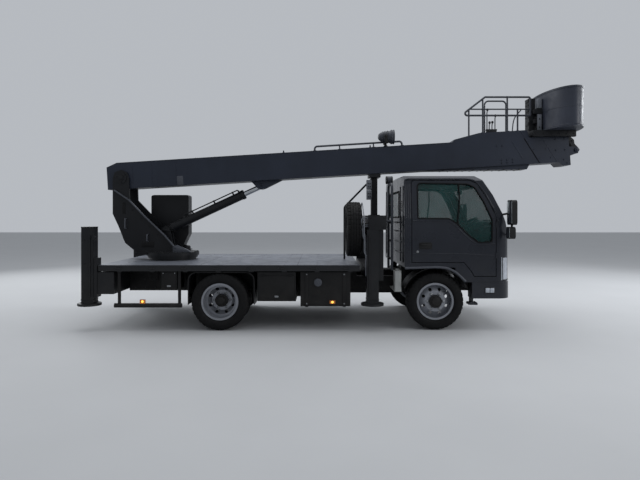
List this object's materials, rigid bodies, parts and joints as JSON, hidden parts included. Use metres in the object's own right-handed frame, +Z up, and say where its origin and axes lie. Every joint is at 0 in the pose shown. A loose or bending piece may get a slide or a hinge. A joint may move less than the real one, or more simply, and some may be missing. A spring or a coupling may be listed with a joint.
{
  "type": "cherry picker truck",
  "caption": "Light cab-over truck with a slewing telescopic boom stowed over the cab, a work bucket at its head and vertical jack legs.",
  "frame": {"origin": "on the ground under the middle of the stowed machine's overall box", "axes": "+X to the front of the truck, +Y to its left, +Z up"},
  "size_m": [6.8699, 2.39, 3.2319],
  "materials": {
    "cab_paint": "gloss",
    "machine_paint": "satin",
    "boom_paint": "satin",
    "guard_paint": "satin",
    "chassis_paint": "satin",
    "axle_paint": "matt",
    "tyre": "matt",
    "rim_paint": "satin",
    "cab_glass": "clear",
    "lamp_lens": "gloss",
    "amber_lens": "gloss",
    "black_plastic": "satin",
    "bumper_plastic": "satin",
    "seat_cloth": "woven",
    "chrome_rod": "polished",
    "deck_paint": "satin",
    "bucket_plastic": "satin",
    "tank_plastic": "satin",
    "box_paint": "satin",
    "exhaust_steel": "matt"
  },
  "bodies": {
    "truck": {"chassis_frame": "chassis_paint", "engine_block": "axle_paint", "drive_line": "axle_paint", "rear_axle": "axle_paint", "front_axle": "axle_paint", "leaf_springs": "axle_paint", "cab_shell": "cab_paint", "cab_glass": "cab_glass", "headlamps": "lamp_lens", "front_bumper": "bumper_plastic", "dashboard": "black_plastic", "seats": "seat_cloth", "mirrors": "black_plastic", "deck": "deck_paint", "rear_fenders": "black_plastic", "side_guards": "chassis_paint", "side_boxes": "chassis_paint", "marker_lamps": "amber_lens", "front_portal": "machine_paint", "rear_columns": "machine_paint", "boom_rest": "machine_paint", "boarding_ladder": "guard_paint", "spare_tyre": "tyre", "spare_rim": "rim_paint", "spare_carrier": "chassis_paint", "slew_base": "machine_paint", "exhaust_pipe": "exhaust_steel", "coolant_tank": "tank_plastic", "control_boxes": "box_paint", "wheel_housings": "black_plastic"},
    "knuckle_right": {"knuckle_right": "axle_paint"},
    "knuckle_left": {"knuckle_left": "axle_paint"},
    "front_wheel_right": {"front_tyre_right": "tyre", "front_rim_right": "rim_paint"},
    "front_wheel_left": {"front_tyre_left": "tyre", "front_rim_left": "rim_paint"},
    "rear_wheels_right": {"rear_tyres_right": "tyre", "rear_rims_right": "rim_paint"},
    "rear_wheels_left": {"rear_tyres_left": "tyre", "rear_rims_left": "rim_paint"},
    "cab_door_right": {"door_right": "cab_paint", "door_glass_right": "cab_glass"},
    "cab_door_left": {"door_left": "cab_paint", "door_glass_left": "cab_glass"},
    "jack_leg_front_right": {"jack_front_right": "machine_paint"},
    "jack_leg_front_left": {"jack_front_left": "machine_paint"},
    "jack_leg_rear_right": {"jack_rear_right": "machine_paint"},
    "jack_leg_rear_left": {"jack_rear_left": "machine_paint"},
    "slewing_turret": {"turret": "machine_paint", "turret_case": "machine_paint"},
    "boom_outer": {"boom_base": "boom_paint", "boom_lugs": "boom_paint", "boom_rails": "guard_paint"},
    "boom_middle": {"boom_second": "boom_paint"},
    "boom_inner": {"boom_third": "boom_paint"},
    "cylinder_barrel": {"lift_barrel": "machine_paint"},
    "cylinder_rod": {"lift_rod": "chrome_rod"},
    "platform": {"platform_bracket": "machine_paint", "bucket": "bucket_plastic"}
  },
  "joints": [
    {"name": "steer_right", "type": "hinge", "parent": "truck", "child": "knuckle_right", "pos_m": [1.156, -0.715, 0.366], "axis": [0, 0, 1], "range_deg": [-35, 35]},
    {"name": "steer_left", "type": "hinge", "parent": "truck", "child": "knuckle_left", "pos_m": [1.156, 0.715, 0.366], "axis": [0, 0, 1], "range_deg": [-35, 35]},
    {"name": "front_wheel_spin_right", "type": "hinge", "parent": "knuckle_right", "child": "front_wheel_right", "pos_m": [1.156, -0.83, 0.366], "axis": [0, 1, 0], "continuous": true},
    {"name": "front_wheel_spin_left", "type": "hinge", "parent": "knuckle_left", "child": "front_wheel_left", "pos_m": [1.156, 0.83, 0.366], "axis": [0, 1, 0], "continuous": true},
    {"name": "rear_wheel_spin_right", "type": "hinge", "parent": "truck", "child": "rear_wheels_right", "pos_m": [-1.614, -0.755, 0.366], "axis": [0, 1, 0], "continuous": true},
    {"name": "rear_wheel_spin_left", "type": "hinge", "parent": "truck", "child": "rear_wheels_left", "pos_m": [-1.614, 0.755, 0.366], "axis": [0, 1, 0], "continuous": true},
    {"name": "door_swing_right", "type": "hinge", "parent": "truck", "child": "cab_door_right", "pos_m": [1.921, -0.967, 1.2], "axis": [0, 0, 1], "range_deg": [0, 70]},
    {"name": "door_swing_left", "type": "hinge", "parent": "truck", "child": "cab_door_left", "pos_m": [1.921, 0.967, 1.2], "axis": [0, 0, -1], "range_deg": [0, 70]},
    {"name": "jack_extend_front_right", "type": "slide", "parent": "truck", "child": "jack_leg_front_right", "axis": [0, 0, -1], "range_m": [0, 0.42]},
    {"name": "jack_extend_front_left", "type": "slide", "parent": "truck", "child": "jack_leg_front_left", "axis": [0, 0, -1], "range_m": [0, 0.42]},
    {"name": "jack_extend_rear_right", "type": "slide", "parent": "truck", "child": "jack_leg_rear_right", "axis": [0, 0, -1], "range_m": [0, 0.42]},
    {"name": "jack_extend_rear_left", "type": "slide", "parent": "truck", "child": "jack_leg_rear_left", "axis": [0, 0, -1], "range_m": [0, 0.42]},
    {"name": "turret_slew", "type": "hinge", "parent": "truck", "child": "slewing_turret", "pos_m": [-2.48, 0, 0.9], "axis": [0, 0, 1], "continuous": true},
    {"name": "boom_lift", "type": "hinge", "parent": "slewing_turret", "child": "boom_outer", "pos_m": [-3.176, 0, 2.01], "axis": [0, -1, 0], "range_deg": [0, 70]},
    {"name": "boom_extend", "type": "slide", "parent": "boom_outer", "child": "boom_middle", "axis": [0.9981, 0, 0.061], "range_m": [0, 3.2]},
    {"name": "boom_extend_inner", "type": "slide", "parent": "boom_middle", "child": "boom_inner", "axis": [0.9981, 0, 0.061], "range_m": [0, 3.2]},
    {"name": "cylinder_tilt", "type": "hinge", "parent": "slewing_turret", "child": "cylinder_barrel", "pos_m": [-2.57, 0, 1.262], "axis": [0, -1, 0], "range_deg": [0, 61.4]},
    {"name": "cylinder_stroke", "type": "slide", "parent": "cylinder_barrel", "child": "cylinder_rod", "axis": [0.9076, 0, 0.4199], "range_m": [0, 1.0625]},
    {"name": "platform_level", "type": "hinge", "parent": "boom_inner", "child": "platform", "pos_m": [3.38095, 0, 2.42407], "axis": [0, -1, 0], "range_deg": [-70, 0]}
  ],
  "couplings": [
    {"joint": "steer_left", "follows": "steer_right", "ratio": 1},
    {"joint": "boom_extend_inner", "follows": "boom_extend", "ratio": 1},
    {"joint": "cylinder_tilt", "follows": "boom_lift", "ratio": 0.8757},
    {"joint": "cylinder_stroke", "follows": "boom_lift", "m_per_rad": 0.8693},
    {"joint": "platform_level", "follows": "boom_lift", "ratio": -1}
  ]
}
